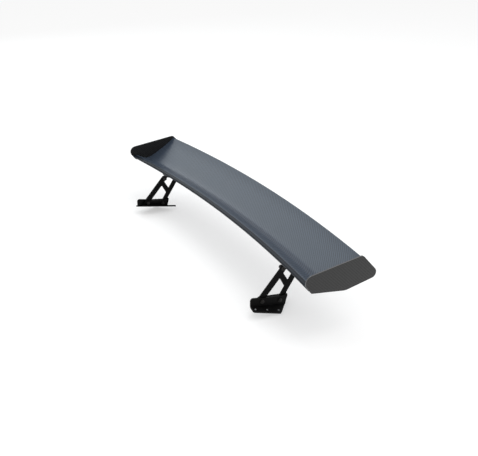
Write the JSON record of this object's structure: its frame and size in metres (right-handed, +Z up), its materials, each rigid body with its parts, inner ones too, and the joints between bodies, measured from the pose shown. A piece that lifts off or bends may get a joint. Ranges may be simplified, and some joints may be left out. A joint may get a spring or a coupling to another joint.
{
  "type": "racing rear wing",
  "caption": "Wide bowed carbon wing blade with flat endplates, carried on black truss uprights whose sloping feet screw to a boot lid; the blade tilts about its front bolts.",
  "frame": {"origin": "midway along the span, midway between the foremost and rearmost points, level with the lowest point of the feet", "axes": "+X along the span towards the car's left side, -Y towards the front of the car (leading edge), +Z up"},
  "size_m": [1.5, 0.3546, 0.2684],
  "materials": {
    "carbon_blade": "carbon twill under satin lacquer",
    "carbon_plate": "carbon twill under satin lacquer",
    "carbon_inner": "bare carbon laminate",
    "rib_foam": "structural foam",
    "block_aluminium": "machined",
    "saddle_black": "black anodised",
    "upright_black": "black powder coat",
    "foot_black": "black powder coat",
    "pad_rubber": "matt",
    "bolt_black": "black oxide steel",
    "washer_black": "black oxide steel",
    "nut_black": "black oxide steel",
    "bush_bronze": "sintered bronze",
    "dowel_steel": "ground"
  },
  "bodies": {
    "stands": {"upright_left": "upright_black", "upright_right": "upright_black", "outer_foot_left": "foot_black", "outer_foot_right": "foot_black", "inner_foot_left": "foot_black", "inner_foot_right": "foot_black", "foot_pad_left": "pad_rubber", "foot_pad_right": "pad_rubber", "pivot_bolts": "bolt_black", "pivot_washers": "washer_black", "pivot_nuts": "nut_black", "lock_bolts": "bolt_black", "lock_washers": "washer_black", "lock_nuts": "nut_black", "foot_bolts": "bolt_black", "foot_washers": "washer_black", "foot_nuts": "nut_black"},
    "blade": {"upper_skin": "carbon_blade", "lower_skin": "carbon_blade", "front_spar": "carbon_inner", "rear_spar": "carbon_inner", "end_rib_left": "rib_foam", "end_rib_right": "rib_foam", "mount_block_left": "block_aluminium", "mount_block_right": "block_aluminium", "endplate_left": "carbon_plate", "endplate_right": "carbon_plate", "endplate_dowels": "dowel_steel", "saddle_left": "saddle_black", "saddle_right": "saddle_black", "saddle_screws": "bolt_black", "pivot_bushes": "bush_bronze"}
  },
  "joints": [
    {"name": "incidence", "type": "hinge", "parent": "stands", "child": "blade", "pos_m": [0, -0.04163, 0.15276], "axis": [1, 0, 0], "range_deg": [-4, 8]}
  ]
}
